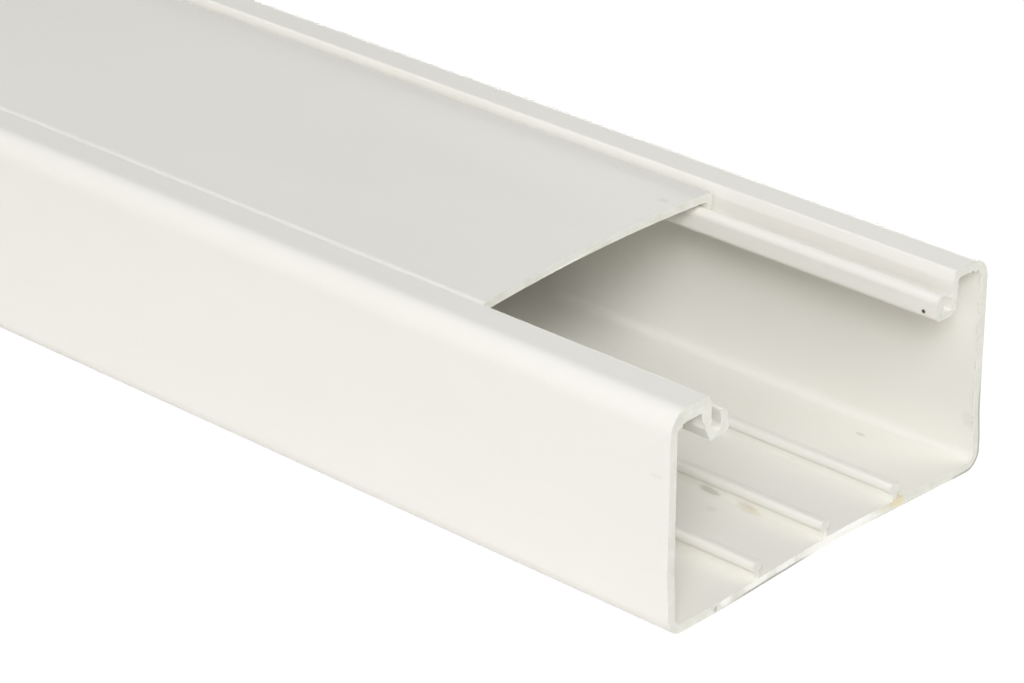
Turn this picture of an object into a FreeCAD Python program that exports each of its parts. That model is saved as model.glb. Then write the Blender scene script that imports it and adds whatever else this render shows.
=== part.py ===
import FreeCAD
import Part
import math
import os

# Overall size of the channel, in mm, with Z up, X across and Y along
channel_width = 100.0
channel_height = 49.0
stock_length = 2000.0

# Channel walls
wall_thickness = 2.0
floor_thickness = 2.0
flange_thickness = 2.0
top_corner_radius = 5.0
bottom_corner_radius = 4.0

# Hooked lip that hangs from each flange
lip_face_inset = 12.0
lip_thickness = 1.8
lip_crease_inset = 11.1
lip_crease_radius = 0.5
lip_bend_depth = 2.4
lip_bend_radius = 2.0
lip_root_radius = 1.0
lip_depth = 9.9
lip_back_slope_start = 7.0
lip_toe_inset = 11.8
lip_toe_radius = 0.5

# Retention ridge on the lip face, which the cover's barb catches under
ridge_depth = 5.9
ridge_height = 0.4
ridge_rise = 0.8
ridge_fall = 0.3
ridge_tip_radius = 0.15

# Gutter at the foot of the lip, which takes the cover's leg
gutter_width = 2.9
gutter_depth = 8.7
gutter_corner_radius = 0.4
upstand_thickness = 2.0
upstand_top_depth = 4.2
upstand_top_fall = 0.2
upstand_edge_radius = 0.2
upstand_nose_radius = 1.7
upstand_foot_radius = 1.2

# Mushroom ribs on the floor
rib_pitch = 22.5
rib_count = 3
rib_head_width = 3.0
rib_head_height = 2.2
rib_head_radius = 1.05
rib_neck_width = 1.2
rib_neck_height = 1.8
rib_root_overlap = 0.5

# Cover plate, domed across its width
cover_length = stock_length
cover_set_back = 61.2
cover_skew = 3.2
cover_gap = 1.0
cover_shoulder_depth = 1.1
cover_crown = 1.3
cover_plate_thickness = 1.8
cover_shoulder_radius = 1.2
cover_root_radius = 0.9

# Legs of the cover, with a barb that stands clear of the lip
leg_thickness = 1.6
leg_floor_clearance = 0.3
barb_side_clearance = 0.15
barb_catch_clearance = 0.2
barb_catch_slope = 0.35
barb_height = 0.9
barb_lead_in = 0.3


def tangent_cut(corner, neighbour, reach):
    """Gives the point at a given reach from a corner towards its neighbour."""
    dx = neighbour[0] - corner[0]
    dz = neighbour[1] - corner[1]
    span = math.hypot(dx, dz)
    return (corner[0] + dx / span * reach, corner[1] + dz / span * reach)


def arc_middle(corner, start, end, radius):
    """Gives the middle point of the round that replaces a corner."""
    mid_x = (start[0] + end[0]) / 2
    mid_z = (start[1] + end[1]) / 2
    dx = mid_x - corner[0]
    dz = mid_z - corner[1]
    to_chord = math.hypot(dx, dz)
    half_chord = math.hypot(end[0] - start[0], end[1] - start[1]) / 2
    sagitta = radius - math.sqrt(max(radius ** 2 - half_chord ** 2, 0.0))
    keep = (to_chord - sagitta) / to_chord
    return (corner[0] + dx * keep, corner[1] + dz * keep)


def at(point, y=0.0):
    """Places a section point at a station along the stock."""
    return FreeCAD.Vector(point[0], y, point[1])


def rounded_outline(corners):
    """Joins section corners (x, z, radius) into a closed wire with tangent rounds."""
    count = len(corners)
    stretches = []
    for index, corner in enumerate(corners):
        before = corners[index - 1]
        after = corners[(index + 1) % count]
        radius = corner[2]
        if radius <= 0:
            stretches.append((corner, None, corner))
            continue
        into = math.atan2(before[1] - corner[1], before[0] - corner[0])
        out = math.atan2(after[1] - corner[1], after[0] - corner[0])
        angle = abs((out - into + math.pi) % (2 * math.pi) - math.pi)
        reach = radius / math.tan(angle / 2)
        start = tangent_cut(corner, before, reach)
        end = tangent_cut(corner, after, reach)
        stretches.append((start, arc_middle(corner, start, end, radius), end))
    edges = []
    for index, (start, middle, end) in enumerate(stretches):
        if middle is not None:
            edges.append(Part.Arc(at(start), at(middle), at(end)).toShape())
        following = stretches[(index + 1) % count][0]
        edges.append(Part.makeLine(at(end), at(following)))
    return Part.Wire(edges)


def mirrored_section(right_half):
    """Completes a section from its right half, listed from the centre line round."""
    left_half = [(-x, z, radius) for x, z, radius in reversed(right_half)]
    return rounded_outline(right_half + left_half)


def extruded(wire, length, start):
    """Runs a section wire along Y from a starting station."""
    wire.translate(FreeCAD.Vector(0, start, 0))
    return Part.Face(wire).extrude(FreeCAD.Vector(0, length, 0))


def lip_corners():
    """Lists the section corners of the hooked lip, from the flange top to its root."""
    face = channel_width / 2 - lip_face_inset
    back = face + lip_thickness
    ridge_z = channel_height - ridge_depth
    gutter_z = channel_height - gutter_depth
    gutter_side = face - gutter_width
    upstand_z = channel_height - upstand_top_depth
    upstand_face = gutter_side - upstand_thickness
    foot_z = channel_height - lip_depth
    toe = channel_width / 2 - lip_toe_inset
    crease = channel_width / 2 - lip_crease_inset
    return [
        (crease, channel_height, lip_crease_radius),
        (face, channel_height - lip_bend_depth, lip_bend_radius),
        (face, ridge_z + ridge_rise, 0),
        (face - ridge_height, ridge_z, ridge_tip_radius),
        (face, ridge_z - ridge_fall, 0),
        (face, gutter_z, gutter_corner_radius),
        (gutter_side, gutter_z, gutter_corner_radius),
        (gutter_side, upstand_z, upstand_edge_radius),
        (upstand_face, upstand_z - upstand_top_fall, upstand_nose_radius),
        (upstand_face, foot_z, upstand_foot_radius),
        (toe, foot_z, lip_toe_radius),
        (back, channel_height - lip_back_slope_start, lip_root_radius),
        (back, channel_height - flange_thickness, lip_root_radius),
    ]


def channel_section():
    """Draws the closed section of the channel with both lips."""
    side = channel_width / 2
    inner_side = side - wall_thickness
    outside = [
        (side, 0, bottom_corner_radius),
        (side, channel_height, top_corner_radius),
    ]
    inside = [
        (inner_side, channel_height - flange_thickness, top_corner_radius - wall_thickness),
        (inner_side, floor_thickness, bottom_corner_radius - wall_thickness),
    ]
    return mirrored_section(outside + lip_corners() + inside)


def rib(centre_x):
    """Builds one mushroom rib that stands on the floor."""
    neck = rib_neck_width / 2
    head = rib_head_width / 2
    root_z = floor_thickness - rib_root_overlap
    under_z = floor_thickness + rib_neck_height
    crest_z = under_z + rib_head_height
    right_half = [
        (neck, root_z, 0),
        (neck, under_z, 0),
        (head, under_z, rib_head_radius),
        (head, crest_z, rib_head_radius),
    ]
    solid = extruded(mirrored_section(right_half), stock_length, -stock_length / 2)
    solid.translate(FreeCAD.Vector(centre_x, 0, 0))
    return solid


def base_channel():
    """Builds the channel with its floor ribs."""
    body = extruded(channel_section(), stock_length, -stock_length / 2)
    first_rib = -rib_pitch * (rib_count - 1) / 2
    ribs = [rib(first_rib + rib_pitch * number) for number in range(rib_count)]
    return body.fuse(ribs).removeSplitter()


def leg_corners(outer, shoulder_z):
    """Lists the corners of the right leg from its outer shoulder to its inner root."""
    lip_face = channel_width / 2 - lip_face_inset
    barb = lip_face - barb_side_clearance
    catch_z = channel_height - ridge_depth - ridge_fall - barb_catch_clearance
    tip_z = channel_height - gutter_depth + leg_floor_clearance
    inner = outer - leg_thickness
    return [
        (outer, shoulder_z),
        (outer, catch_z),
        (barb, catch_z - barb_catch_slope),
        (barb, catch_z - barb_catch_slope - barb_height),
        (outer - barb_lead_in, tip_z),
        (inner, tip_z),
        (inner, shoulder_z - cover_plate_thickness),
    ]


def dome_arcs(start, crown_z, end):
    """Draws the two halves of an arc that meet at its crown on the centre line."""
    crown = at((0, crown_z))
    whole = Part.Arc(at(start), crown, at(end))
    middle = whole.parameter(crown)
    halves = [(whole.FirstParameter, middle), (middle, whole.LastParameter)]
    return [whole.toShape(first, last) for first, last in halves]


def cover_section():
    """Draws the closed section of the cover: a domed plate with two barbed legs."""
    outer = channel_width / 2 - lip_face_inset - cover_gap
    shoulder_z = channel_height - cover_shoulder_depth
    crown_z = shoulder_z + cover_crown
    right = leg_corners(outer, shoulder_z)
    left = [(-x, z) for x, z in reversed(right)]
    edges = dome_arcs(left[-1], crown_z, right[0])
    for start, end in zip(right, right[1:]):
        edges.append(Part.makeLine(at(start), at(end)))
    under_z = crown_z - cover_plate_thickness
    edges.extend(dome_arcs(right[-1], under_z, left[0]))
    for start, end in zip(left, left[1:]):
        edges.append(Part.makeLine(at(start), at(end)))
    return Part.Wire(edges)


def long_edges(solid, x, z):
    """Finds the two mirrored long edges of a solid at a section position."""
    found = []
    for edge in solid.Edges:
        middle = edge.CenterOfMass
        runs_along = abs(edge.tangentAt(edge.FirstParameter).y) > 0.999
        if runs_along and abs(abs(middle.x) - x) < 1e-3 and abs(middle.z - z) < 1e-3:
            found.append(edge)
    return found


def sawn_wedge(start):
    """Builds the wedge that the saw took off the cover's near end, about its left leg."""
    half = channel_width / 2
    pivot_x = -(half - lip_face_inset - cover_gap)
    slope = cover_skew / channel_width
    corners = [
        FreeCAD.Vector(-half, start - channel_width, 0),
        FreeCAD.Vector(half, start - channel_width, 0),
        FreeCAD.Vector(half, start + slope * (half - pivot_x), 0),
        FreeCAD.Vector(-half, start + slope * (-half - pivot_x), 0),
    ]
    outline = Part.makePolygon(corners + corners[:1])
    return Part.Face(outline).extrude(FreeCAD.Vector(0, 0, 2 * channel_height))


def cover():
    """Builds the cover with rounded shoulders and roots, its near end cut a little askew."""
    start = -stock_length / 2 + cover_set_back
    body = extruded(cover_section(), cover_length, start)
    outer = channel_width / 2 - lip_face_inset - cover_gap
    shoulder_z = channel_height - cover_shoulder_depth
    shoulders = long_edges(body, outer, shoulder_z)
    body = body.makeFillet(cover_shoulder_radius, shoulders)
    roots = long_edges(body, outer - leg_thickness, shoulder_z - cover_plate_thickness)
    body = body.makeFillet(cover_root_radius, roots)
    return body.cut(sawn_wedge(start))


def main():
    """Writes one STEP file for each physical piece."""
    os.makedirs("parts", exist_ok=True)
    base_channel().exportStep("parts/base_channel.step")
    cover().exportStep("parts/cover.step")


main()
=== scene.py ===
"""Looks of a cord cover raceway: a ribbed plastic channel with hooked lips and its clip-in cover."""

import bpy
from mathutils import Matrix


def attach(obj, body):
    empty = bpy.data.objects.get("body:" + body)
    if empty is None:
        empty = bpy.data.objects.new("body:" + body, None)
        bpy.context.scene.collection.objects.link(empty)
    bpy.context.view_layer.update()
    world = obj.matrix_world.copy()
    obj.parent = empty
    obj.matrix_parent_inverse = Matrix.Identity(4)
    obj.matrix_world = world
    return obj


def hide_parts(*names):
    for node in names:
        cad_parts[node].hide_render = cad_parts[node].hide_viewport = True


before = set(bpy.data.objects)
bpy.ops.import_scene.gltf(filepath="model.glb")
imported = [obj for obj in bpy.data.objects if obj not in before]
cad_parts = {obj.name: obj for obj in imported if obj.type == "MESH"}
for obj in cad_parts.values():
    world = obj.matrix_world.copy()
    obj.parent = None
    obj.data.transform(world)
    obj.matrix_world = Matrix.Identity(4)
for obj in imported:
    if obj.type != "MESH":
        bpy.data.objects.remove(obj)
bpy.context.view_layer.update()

import logging
import math
from collections.abc import Callable
from dataclasses import dataclass, field
from enum import Enum

import bpy
from mathutils import Matrix, Vector

LOG = logging.getLogger("raceway")
MM = 0.001
END_BAND = 0.1 * MM
Socket = bpy.types.NodeSocket
Corner = tuple[float, float, float]
Point = tuple[float, float]
Place = tuple[float, float, float]
Colour = tuple[float, float, float]


class Body(Enum):
    """The two rigid bodies that pieces ride on."""

    CHANNEL = "channel"
    LID = "lid"


class Node(Enum):
    """The solids that the dressed pieces stand for."""

    BASE_CHANNEL = "base_channel"
    COVER = "cover"


class Slot(Enum):
    """The record's material slots."""

    CHANNEL = "channel_plastic"
    COVER = "cover_plastic"


# Section outlines


@dataclass
class Outline:
    """A closed section outline with tangent rounds, in mm.

    Fields:
        corners: section corners as (x, z, radius), in order round the section.
        chord_error: how far a round's facets may stray from its true arc.
        hold: how far from a round a flat gets an extra point, to keep its shading flat.
        spacing: the largest gap between two points on a flat, so that a cut can bow.
    """

    corners: list[Corner]
    chord_error: float = 0.004
    hold: float = 0.25
    spacing: float = 2.5

    def points(self) -> list[Point]:
        """Gives the outline's points, with every round divided finely."""
        return self.part(0, len(self.corners))

    def part(self, first: int, last: int) -> list[Point]:
        """Gives the points from one corner up to just before another.

        Args:
            first: the corner to start with.
            last: the corner to stop before; the number of corners means the whole outline.

        Returns:
            The points, in order round the section.
        """
        found: list[Point] = []
        for index in range(first, last):
            stretch = self._stretch(index)
            following = self._stretch((index + 1) % len(self.corners))[0]
            found.extend(stretch)
            found.extend(self._flat(stretch[-1], following))
        return found

    def _stretch(self, index: int) -> list[Point]:
        """Gives the points that stand for one corner: the corner itself, or its round's points.

        Args:
            index: which corner.

        Returns:
            One point for a sharp corner, or the points of its round.
        """
        x, z, radius = self.corners[index]
        if radius <= 0:
            return [(x, z)]
        corner = Vector((x, z))
        before = Vector(self.corners[index - 1][:2]) - corner
        after = Vector(self.corners[(index + 1) % len(self.corners)][:2]) - corner
        before.normalize()
        after.normalize()
        opening = before.angle(after)
        reach = radius / math.tan(opening / 2)
        middle = corner + (before + after).normalized() * (radius / math.sin(opening / 2))
        start = corner + before * reach - middle
        turn = math.pi - opening
        side = 1.0 if before.x * after.y - before.y * after.x < 0 else -1.0
        step = 2 * math.acos(1 - min(self.chord_error / radius, 0.5))
        count = max(2, math.ceil(turn / step))
        found = []
        for number in range(count + 1):
            angle = side * turn * number / count
            cos, sin = math.cos(angle), math.sin(angle)
            found.append((middle.x + start.x * cos - start.y * sin, middle.y + start.x * sin + start.y * cos))
        return found

    def _flat(self, start: Point, end: Point) -> list[Point]:
        """Gives the extra points on a long flat: close to its ends and at even steps between.

        Args:
            start: where the flat starts.
            end: where it ends.

        Returns:
            The points, or none on a short flat.
        """
        along = Vector(end) - Vector(start)
        if along.length < 4 * self.hold:
            return []
        step = along.normalized() * self.hold
        low, high = Vector(start) + step, Vector(end) - step
        count = max(1, math.ceil((high - low).length / self.spacing))
        return [tuple(low.lerp(high, number / count)) for number in range(count + 1)]


def mirrored(right_half: list[Corner]) -> list[Corner]:
    """Completes a section's corners from its right half."""
    return right_half + [(-x, z, radius) for x, z, radius in reversed(right_half)]


@dataclass
class ChannelSection:
    """Sizes of the channel's section in mm, and its outline."""

    width: float = 100.0
    height: float = 49.0
    wall: float = 2.0
    top_radius: float = 5.0
    bottom_radius: float = 4.0
    lip_inset: float = 12.0
    lip_thickness: float = 1.8
    crease_inset: float = 11.1
    crease_radius: float = 0.5
    bend_depth: float = 2.4
    bend_radius: float = 2.0
    lip_root_radius: float = 1.0
    lip_depth: float = 9.9
    lip_slope_start: float = 7.0
    toe_inset: float = 11.8
    toe_radius: float = 0.5
    ridge_depth: float = 5.9
    ridge_height: float = 0.4
    ridge_rise: float = 0.8
    ridge_fall: float = 0.3
    ridge_radius: float = 0.15
    gutter_width: float = 2.9
    gutter_depth: float = 8.7
    gutter_radius: float = 0.4
    upstand: float = 2.0
    upstand_depth: float = 4.2
    upstand_fall: float = 0.2
    upstand_edge_radius: float = 0.2
    nose_radius: float = 1.7
    foot_radius: float = 1.2

    @property
    def lip_face(self) -> float:
        """Gives the distance of the lip's face from the centre line."""
        return self.width / 2 - self.lip_inset

    def lip(self) -> list[Corner]:
        """Gives the right lip's corners, from the flange top to the lip's root.

        Returns:
            The corners, in order round the section.
        """
        face = self.lip_face
        ridge = self.height - self.ridge_depth
        gutter = self.height - self.gutter_depth
        gutter_side = face - self.gutter_width
        top = self.height - self.upstand_depth
        inner = gutter_side - self.upstand
        foot = self.height - self.lip_depth
        back = face + self.lip_thickness
        return [
            (self.width / 2 - self.crease_inset, self.height, self.crease_radius),
            (face, self.height - self.bend_depth, self.bend_radius),
            (face, ridge + self.ridge_rise, 0),
            (face - self.ridge_height, ridge, self.ridge_radius),
            (face, ridge - self.ridge_fall, 0),
            (face, gutter, self.gutter_radius),
            (gutter_side, gutter, self.gutter_radius),
            (gutter_side, top, self.upstand_edge_radius),
            (inner, top - self.upstand_fall, self.nose_radius),
            (inner, foot, self.foot_radius),
            (self.width / 2 - self.toe_inset, foot, self.toe_radius),
            (back, self.height - self.lip_slope_start, self.lip_root_radius),
            (back, self.height - self.wall, self.lip_root_radius),
        ]

    def corners(self) -> list[Corner]:
        """Gives all the section's corners.

        Returns:
            The corners of both halves, in order round the section.
        """
        side = self.width / 2
        inner = side - self.wall
        outside = [(side, 0, self.bottom_radius), (side, self.height, self.top_radius)]
        inside = [
            (inner, self.height - self.wall, self.top_radius - self.wall),
            (inner, self.wall, self.bottom_radius - self.wall),
        ]
        return mirrored(outside + self.lip() + inside)


@dataclass
class RibSection:
    """Sizes of one mushroom rib in mm, and its outline about its own centre line."""

    floor: float = 2.0
    head_width: float = 3.0
    head_height: float = 2.2
    head_radius: float = 1.05
    neck_width: float = 1.2
    neck_height: float = 1.8
    neck_radius: float = 0.12
    root: float = 0.5

    def corners(self) -> list[Corner]:
        """Gives the rib's corners.

        Returns:
            The corners of both halves, in order round the section.
        """
        under = self.floor + self.neck_height
        crest = under + self.head_height
        neck = self.neck_width / 2
        head = self.head_width / 2
        right = [
            (neck, self.floor - self.root, 0),
            (neck, under, self.neck_radius),
            (head, under, self.head_radius),
            (head, crest, self.head_radius),
        ]
        return mirrored(right)


@dataclass
class CoverSection:
    """Sizes of the cover's section in mm, and its outline.

    Fields of the outline alone:
        edge_radius: the round on the legs' edges.
        dome_steps: how many steps each half of the dome has.
        dome_clear: how far the dome's steps keep from the shoulders' rounds, in shoulder radii.
    """

    channel: ChannelSection = field(default_factory=ChannelSection)
    gap: float = 1.0
    shoulder_depth: float = 1.1
    crown: float = 1.3
    plate: float = 1.8
    shoulder_radius: float = 1.2
    root_radius: float = 0.9
    leg: float = 1.6
    floor_clearance: float = 0.3
    barb_clearance: float = 0.15
    catch_clearance: float = 0.2
    catch_slope: float = 0.35
    barb_height: float = 0.9
    lead_in: float = 0.3
    edge_radius: float = 0.12
    dome_steps: int = 24
    dome_clear: float = 1.5

    @property
    def outer(self) -> float:
        """Gives the distance of a leg's outer face from the centre line."""
        return self.channel.lip_face - self.gap

    def dome(self, reach: float, crown: float) -> list[Corner]:
        """Gives points of a dome's arc, from the left to the right.

        Args:
            reach: how far the dome reaches to either side.
            crown: height of the dome's middle.

        Returns:
            The points of the arc, as sharp corners.
        """
        radius = (reach**2 + self.crown**2) / (2 * self.crown)
        steps = range(-self.dome_steps, self.dome_steps + 1)
        found = []
        for number in steps:
            x = reach * number / self.dome_steps
            found.append((x, crown - (radius - math.sqrt(radius**2 - x**2)), 0.0))
        return found

    def leg_side(self) -> list[Corner]:
        """Gives the right leg's corners, from the outer shoulder down and up to the inner root.

        Returns:
            The corners, in order round the section.
        """
        shoulder = self.channel.height - self.shoulder_depth
        barb = self.channel.lip_face - self.barb_clearance
        ridge_foot = self.channel.height - self.channel.ridge_depth - self.channel.ridge_fall
        catch = ridge_foot - self.catch_clearance
        tip = self.channel.height - self.channel.gutter_depth + self.floor_clearance
        inner = self.outer - self.leg
        slope = catch - self.catch_slope
        return [
            (self.outer, shoulder, self.shoulder_radius),
            (self.outer, catch, 0),
            (barb, slope, self.edge_radius),
            (barb, slope - self.barb_height, self.edge_radius),
            (self.outer - self.lead_in, tip, self.edge_radius),
            (inner, tip, self.edge_radius),
            (inner, shoulder - self.plate, self.root_radius),
        ]

    def corners(self) -> list[Corner]:
        """Gives all the section's corners: the dome, a leg, the underside and the other leg.

        Returns:
            The corners, in order round the section.
        """
        shoulder = self.channel.height - self.shoulder_depth
        crown = shoulder + self.crown
        top = self.dome(self.outer, crown)[1:-1]
        under = self.dome(self.outer - self.leg, crown - self.plate)[1:-1]
        right = self.leg_side()
        left = [(-x, z, radius) for x, z, radius in reversed(right)]
        clear = self.shoulder_radius * self.dome_clear
        top = [corner for corner in top if abs(corner[0]) < self.outer - clear]
        under = [corner for corner in under if abs(corner[0]) < self.outer - self.leg - clear]
        return top + right + under[::-1] + left


# Node trees


def maths(operation: str, turned: bool = False) -> Callable[..., "Wire"]:
    """Makes a method that adds a Math node on a wire and other values.

    Args:
        operation: the node's operation.
        turned: whether the wire comes after the other values.

    Returns:
        The method.
    """

    def method(wire: "Wire", *others: object) -> "Wire":
        """Adds the node."""
        values = (*others, wire) if turned else (wire, *others)
        return wire.nodes.node("ShaderNodeMath", {"operation": operation}, dict(enumerate(values)))

    return method


class Wire:
    """A node's output that Python's operators work on.

    Methods that take other values:
        size: takes the value without its sign.
        largest, smallest: take the larger or the smaller of two values.
        over, under: give 1 where this is the larger or the smaller, else 0.
    """

    __add__ = maths("ADD")
    __radd__ = maths("ADD", turned=True)
    __sub__ = maths("SUBTRACT")
    __rsub__ = maths("SUBTRACT", turned=True)
    __mul__ = maths("MULTIPLY")
    __rmul__ = maths("MULTIPLY", turned=True)
    __truediv__ = maths("DIVIDE")
    __rtruediv__ = maths("DIVIDE", turned=True)
    __pow__ = maths("POWER")
    __rpow__ = maths("POWER", turned=True)
    size = maths("ABSOLUTE")
    largest = maths("MAXIMUM")
    smallest = maths("MINIMUM")
    over = maths("GREATER_THAN")
    under = maths("LESS_THAN")

    def __init__(self, nodes: "Nodes", socket: Socket) -> None:
        """Keeps the socket and the tree it belongs to."""
        self.nodes = nodes
        self.socket = socket

    def ramp(self, low: object, high: object) -> "Wire":
        """Rises smoothly from 0 at low to 1 at high, or falls where low is a number above high.

        Args:
            low: the value that gives 0.
            high: the value that gives 1.

        Returns:
            The share from 0 to 1.
        """
        if isinstance(low, Wire) or low <= high:
            return self._span(low, high, 0.0, 1.0)
        return self._span(high, low, 1.0, 0.0)

    def _span(self, start: object, end: object, low: float, high: float) -> "Wire":
        """Adds a smooth Map Range node.

        Args:
            start: the lower value.
            end: the upper value.
            low: what the lower value gives.
            high: what the upper value gives.

        Returns:
            The node's result.
        """
        settings = {"interpolation_type": "SMOOTHSTEP"}
        values = {"Value": self, "From Min": start, "From Max": end, "To Min": low, "To Max": high}
        return self.nodes.node("ShaderNodeMapRange", settings, values)


class Nodes:
    """A node tree that is built call by call."""

    def __init__(self, tree: bpy.types.NodeTree) -> None:
        """Starts an emptied tree."""
        self.tree = tree
        self.tree.nodes.clear()

    def made(self, kind: str, settings: dict[str, object], values: dict[object, object]) -> bpy.types.Node:
        """Adds a node, sets its settings and then its sockets.

        Args:
            kind: the node's type.
            settings: attributes of the node, set first.
            values: socket name or number to a value or a wire.

        Returns:
            The new node.
        """
        node = self.tree.nodes.new(kind)
        for name, value in settings.items():
            setattr(node, name, value)
        for key, value in values.items():
            self.link(self._input(node, key), value)
        return node

    def node(
        self, kind: str, settings: dict[str, object], values: dict[object, object], output: object = 0
    ) -> Wire:
        """Adds a node like made() and gives the wire of one of its outputs."""
        return Wire(self, self.made(kind, settings, values).outputs[output])

    def _input(self, node: bpy.types.Node, key: object) -> Socket:
        """Gives a node's input by its number, or the one of a name that is in use.

        Args:
            node: the node.
            key: the input's number or name.

        Returns:
            The input.
        """
        if isinstance(key, int):
            return node.inputs[key]
        return next(socket for socket in node.inputs if socket.name == key and socket.enabled)

    def link(self, socket: Socket, value: object) -> None:
        """Links a wire to a socket, or sets the socket's value.

        Args:
            socket: the socket.
            value: a wire or a plain value.
        """
        if isinstance(value, Wire):
            self.tree.links.new(value.socket, socket)
        else:
            socket.default_value = value

    def split(self, vector: Wire) -> list[Wire]:
        """Gives a vector's three parts."""
        return [Wire(self, part) for part in self.made("ShaderNodeSeparateXYZ", {}, {0: vector}).outputs]

    def finish(self, kind: str, result: Wire) -> None:
        """Adds the tree's output node and links the result to it."""
        self.link(self.tree.nodes.new(kind).inputs[0], result)


class GeometryTree(Nodes):
    """A geometry node tree with named inputs."""

    def __init__(self, name: str, numbers: tuple[str, ...], others: dict[str, str]) -> None:
        """Starts a tree with one geometry input, named inputs and one geometry output.

        Args:
            name: the tree's name.
            numbers: names of the inputs that are plain numbers.
            others: name to socket type of the other inputs.
        """
        super().__init__(bpy.data.node_groups.new(name, "GeometryNodeTree"))
        face = self.tree.interface
        face.new_socket("Geometry", in_out="INPUT", socket_type="NodeSocketGeometry")
        for label, kind in (dict.fromkeys(numbers, "NodeSocketFloat") | others).items():
            face.new_socket(label, in_out="INPUT", socket_type=kind)
        face.new_socket("Geometry", in_out="OUTPUT", socket_type="NodeSocketGeometry")
        self.entry = self.tree.nodes.new("NodeGroupInput")

    def given(self, label: str) -> Wire:
        """Gives one of the tree's named inputs."""
        return Wire(self, self.entry.outputs[label])

    def place(self) -> Wire:
        """Gives each point's place."""
        return self.node("GeometryNodeInputPosition", {}, {})

    def vector(self, x: object = 0.0, y: object = 0.0) -> Wire:
        """Joins parts to a level vector."""
        return self.node("ShaderNodeCombineXYZ", {}, {"X": x, "Y": y})

    def noise(self, pitch: Wire, seed: Wire) -> Wire:
        """Gives a noise from 0 to 1 whose lumps are about a pitch apart."""
        values = {"Vector": self.place(), "W": seed, "Scale": 1.0 / pitch, "Detail": 2.0}
        return self.node("ShaderNodeTexNoise", {"noise_dimensions": "4D"}, values)

    def close(self, geometry: Wire) -> bpy.types.NodeTree:
        """Links the result to the tree's output and gives the tree."""
        self.finish("NodeGroupOutput", geometry)
        return self.tree


def added(name: str, data: bpy.types.ID) -> bpy.types.Object:
    """Makes an object and puts it in the scene.

    Args:
        name: the object's name.
        data: its mesh, camera or light.

    Returns:
        The object.
    """
    thing = bpy.data.objects.new(name, data)
    bpy.context.scene.collection.objects.link(thing)
    return thing


def run_tree(
    piece: bpy.types.Object, tree: bpy.types.NodeTree, values: dict[str, object], name: str
) -> bpy.types.Object:
    """Runs a geometry tree on an object and gives its result as a plain mesh object.

    Args:
        piece: the object that carries the outline or the edge; it is removed afterwards.
        tree: the geometry tree.
        values: input name to value.
        name: the new object's name.

    Returns:
        The new object, with no modifier.
    """
    modifier = piece.modifiers.new("shape", "NODES")
    modifier.node_group = tree
    for item in tree.interface.items_tree:
        if item.in_out == "INPUT" and item.name in values:
            modifier[item.identifier] = values[item.name]
    depsgraph = bpy.context.evaluated_depsgraph_get()
    mesh = bpy.data.meshes.new_from_object(piece.evaluated_get(depsgraph), depsgraph=depsgraph)
    mesh.name = name
    piece.modifiers.remove(modifier)
    result = added(name, mesh)
    bpy.data.objects.remove(piece)
    return result


def edge_object(name: str, places: list[Place], closed: bool) -> bpy.types.Object:
    """Makes a chain or a loop of edges through places in metres.

    Args:
        name: the object's name.
        places: the chain's places.
        closed: whether it is a loop.

    Returns:
        The object, which holds edges alone.
    """
    mesh = bpy.data.meshes.new(name)
    edges = [(index, index + 1) for index in range(len(places) - 1)]
    if closed:
        edges.append((len(places) - 1, 0))
    mesh.from_pydata(places, edges, [])
    return added(name, mesh)


def outline_object(name: str, corners: list[Corner]) -> bpy.types.Object:
    """Makes a closed loop of edges from a section's corners in mm, laid as a sweep reads it."""
    return edge_object(name, [(x * MM, -z * MM, 0.0) for x, z in Outline(corners).points()], True)


@dataclass(frozen=True)
class NearCut:
    """How the saw ran through a near end: askew, and with its blade bowed at the floor, in mm.

    Fields:
        skew: how far the cut leans along the stock for each mm across it.
        skew_pivot: where across the stock the leaning cut is at its station.
        bow_depth: how much deeper the cut runs at the bow's middle than at the stock's corners.
        bow_lead: how far the cut's lower corners stand proud.
        bow_middle, bow_half: the bow's middle and half width across the stock.
        bow_power: how rounded the bow is.
        bow_foot, bow_top: heights between which the bow fades out.
    """

    skew: float = 0.0
    skew_pivot: float = 0.0
    bow_depth: float = 0.0
    bow_lead: float = 0.0
    bow_middle: float = 0.0
    bow_half: float = 50.0
    bow_power: float = 1.3
    bow_foot: float = 6.0
    bow_top: float = 14.0

    LENGTHS = ("Skew Pivot", "Bow Depth", "Bow Lead", "Bow Middle", "Bow Half", "Bow Foot", "Bow Top")
    PLAIN = ("Skew", "Bow Power")

    INPUTS = LENGTHS + PLAIN

    def values(self) -> dict[str, float]:
        """Gives the values of a tree's inputs for the cut, lengths in metres."""
        found = {label: getattr(self, label.lower().replace(" ", "_")) for label in self.INPUTS}
        return {label: value * (MM if label in self.LENGTHS else 1.0) for label, value in found.items()}

    @staticmethod
    def shift(tree: GeometryTree, x: Wire, z: Wire) -> Wire:
        """Gives how far along the stock the cut lies at a place of the section.

        Args:
            tree: the tree that is built.
            x: the place across the stock.
            z: the place's height.

        Returns:
            The way from the cut's station, along the stock.
        """
        lean = (x - tree.given("Skew Pivot")) * tree.given("Skew")
        share = (x - tree.given("Bow Middle")).size() / tree.given("Bow Half")
        dish = (1.0 - share ** tree.given("Bow Power")).largest(0.0)
        bow = dish * tree.given("Bow Depth") - tree.given("Bow Lead")
        low_down = 1.0 - z.ramp(tree.given("Bow Foot"), tree.given("Bow Top"))
        return lean + bow * low_down


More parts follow.
